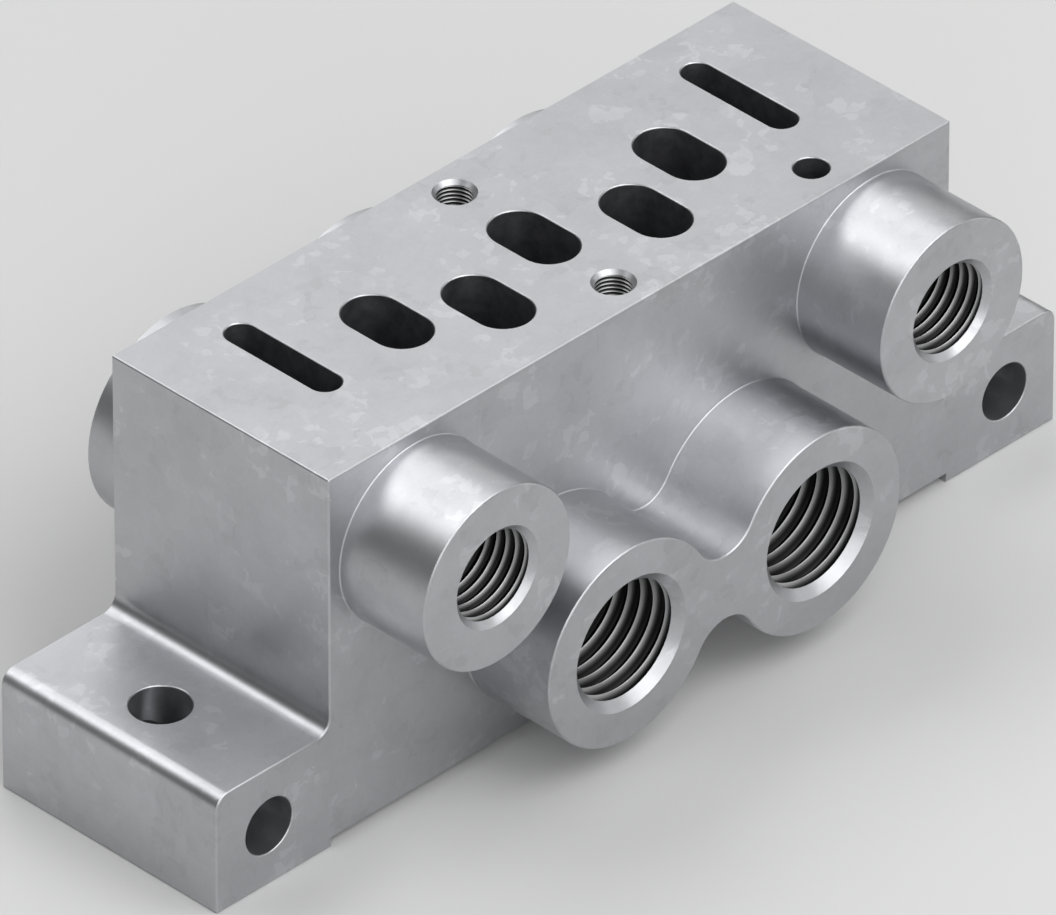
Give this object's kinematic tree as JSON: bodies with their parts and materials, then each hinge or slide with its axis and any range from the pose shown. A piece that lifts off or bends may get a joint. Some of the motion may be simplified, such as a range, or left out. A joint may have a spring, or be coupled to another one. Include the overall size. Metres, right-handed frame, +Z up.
{
  "type": "pneumatic valve subbase",
  "caption": "Cast aluminium block with feet that carries an air valve on its top face and brings the valve's ports out to threaded round bosses front and back.",
  "frame": {"origin": "middle of the feet, on the surface they stand on", "axes": "+X along the length to the right of the working ports, +Y from the working ports to the back, +Z up out of the valve face"},
  "size_m": [0.102, 0.046, 0.038],
  "materials": {
    "casting": "satin as-cast skin, bright where machined"
  },
  "bodies": {
    "root": {"subbase_body": "casting"}
  },
  "joints": []
}
